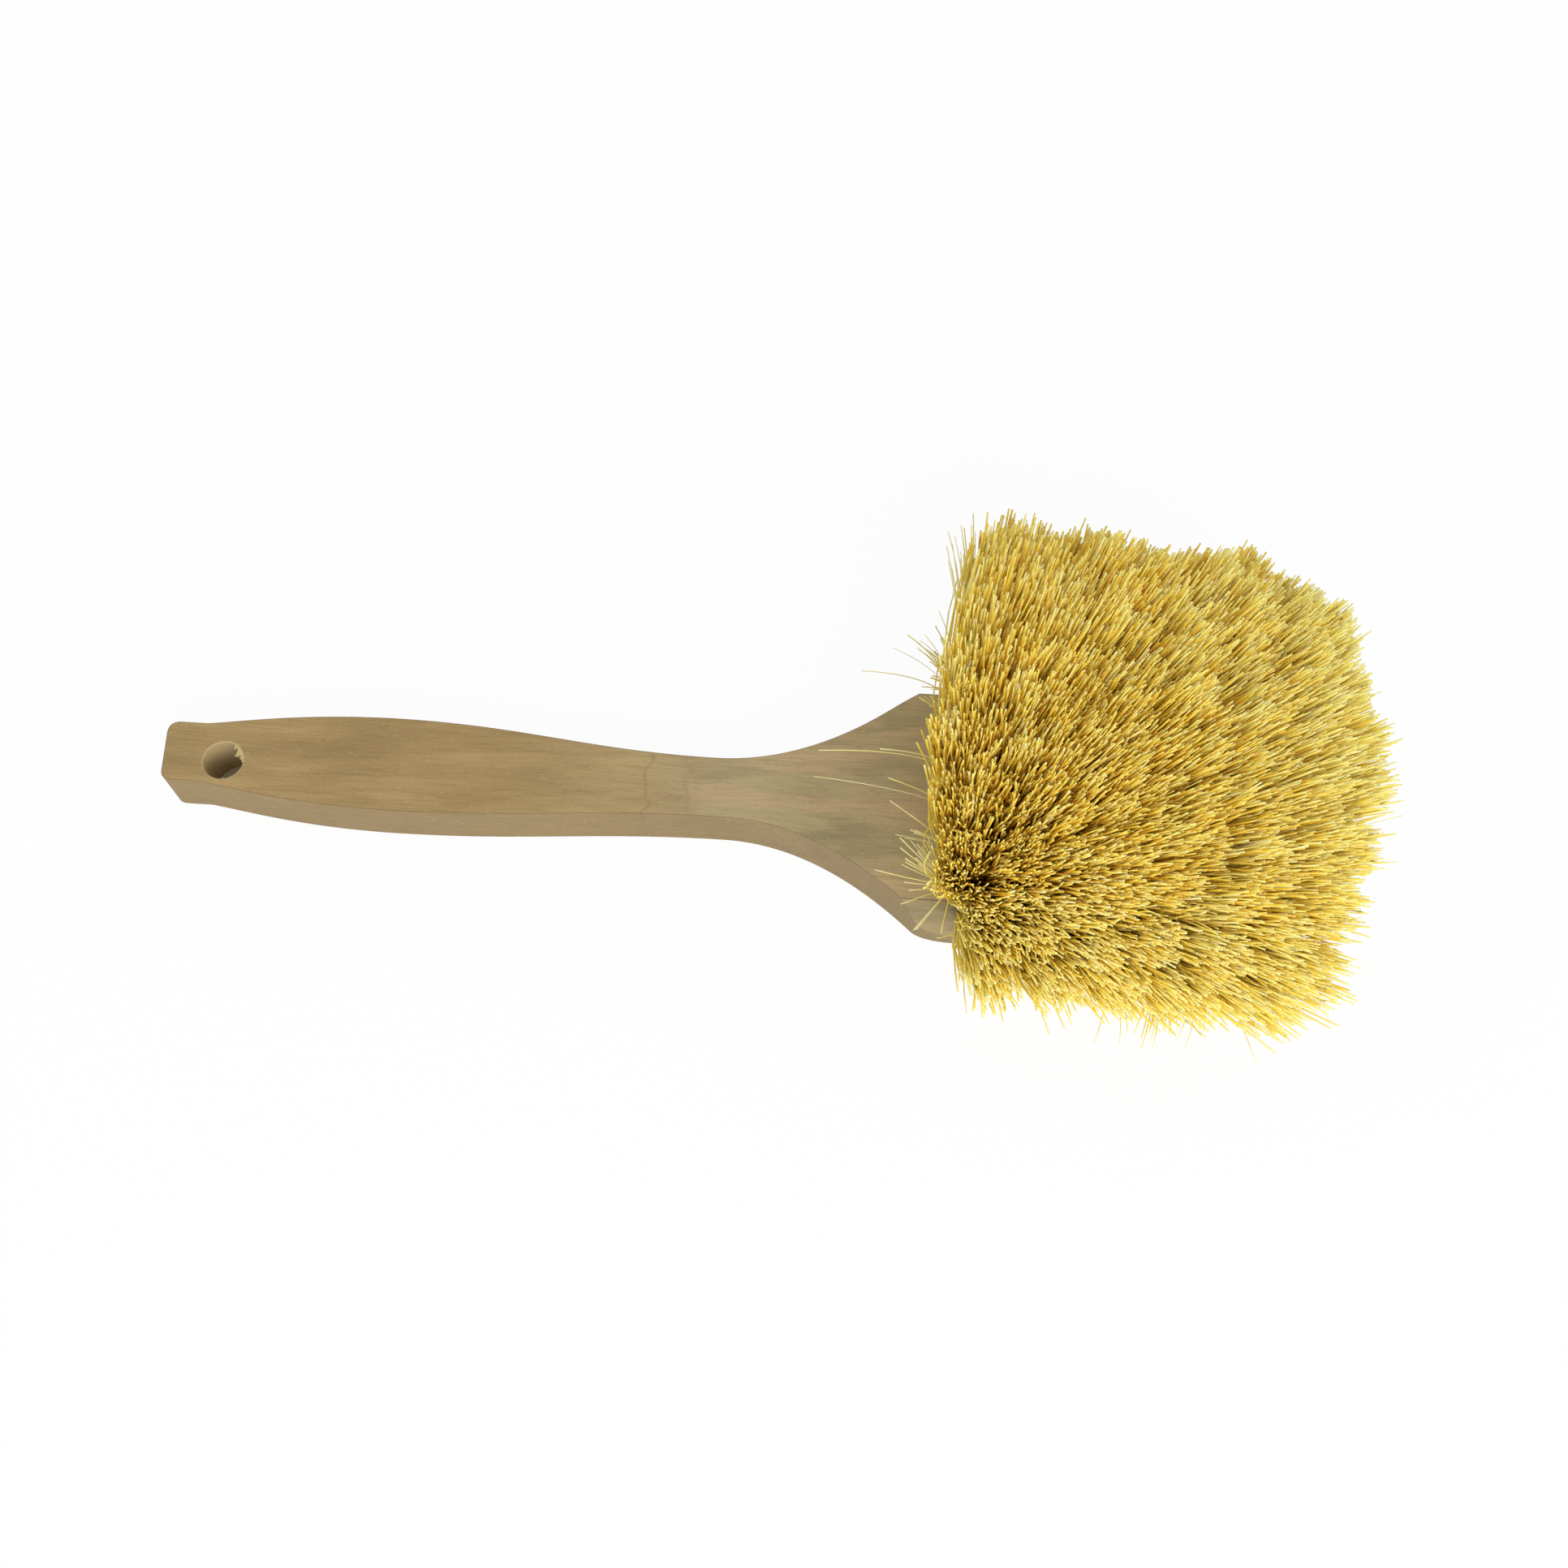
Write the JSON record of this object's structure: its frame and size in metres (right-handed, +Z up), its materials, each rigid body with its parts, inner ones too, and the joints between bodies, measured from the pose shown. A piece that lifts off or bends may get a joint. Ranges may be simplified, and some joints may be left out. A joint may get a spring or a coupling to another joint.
{
  "type": "fender brush",
  "caption": "Wash brush with a flat paddle handle, a hang hole and a bevelled head whose stiff plant-fibre tufts fan out from its face, sides and nose.",
  "frame": {"origin": "middle of the underside of the whole brush, bristles included, as it lies on its flat back", "axes": "+X from the handle end to the nose, +Z up through the bristles, +Y to the far side"},
  "size_m": [0.3792, 0.1738, 0.0842],
  "materials": {
    "wood": "bare sanded hardwood",
    "fibre": "stiff natural plant fibre, cut ends",
    "staple_wire": "drawn steel wire"
  },
  "bodies": {
    "root": {"brush_block": "wood", "crown_tufts": "fibre", "near_side_tufts": "fibre", "far_side_tufts": "fibre", "nose_tufts": "fibre", "staple_01": "staple_wire", "staple_02": "staple_wire", "staple_03": "staple_wire", "staple_04": "staple_wire", "staple_05": "staple_wire", "staple_06": "staple_wire", "staple_07": "staple_wire", "staple_08": "staple_wire", "staple_09": "staple_wire", "staple_10": "staple_wire", "staple_11": "staple_wire", "staple_12": "staple_wire", "staple_13": "staple_wire", "staple_14": "staple_wire", "staple_15": "staple_wire", "staple_16": "staple_wire", "staple_17": "staple_wire", "staple_18": "staple_wire", "staple_19": "staple_wire", "staple_20": "staple_wire", "staple_21": "staple_wire", "staple_22": "staple_wire", "staple_23": "staple_wire", "staple_24": "staple_wire", "staple_25": "staple_wire", "staple_26": "staple_wire", "staple_27": "staple_wire", "staple_28": "staple_wire", "staple_29": "staple_wire", "staple_30": "staple_wire", "staple_31": "staple_wire", "staple_32": "staple_wire", "staple_33": "staple_wire", "staple_34": "staple_wire", "staple_35": "staple_wire", "staple_36": "staple_wire", "staple_37": "staple_wire", "staple_38": "staple_wire", "staple_39": "staple_wire", "staple_40": "staple_wire", "staple_41": "staple_wire", "staple_42": "staple_wire", "staple_43": "staple_wire", "staple_44": "staple_wire", "staple_45": "staple_wire", "staple_46": "staple_wire", "staple_47": "staple_wire", "staple_48": "staple_wire", "staple_49": "staple_wire", "staple_50": "staple_wire", "staple_51": "staple_wire", "staple_52": "staple_wire"}
  },
  "joints": []
}
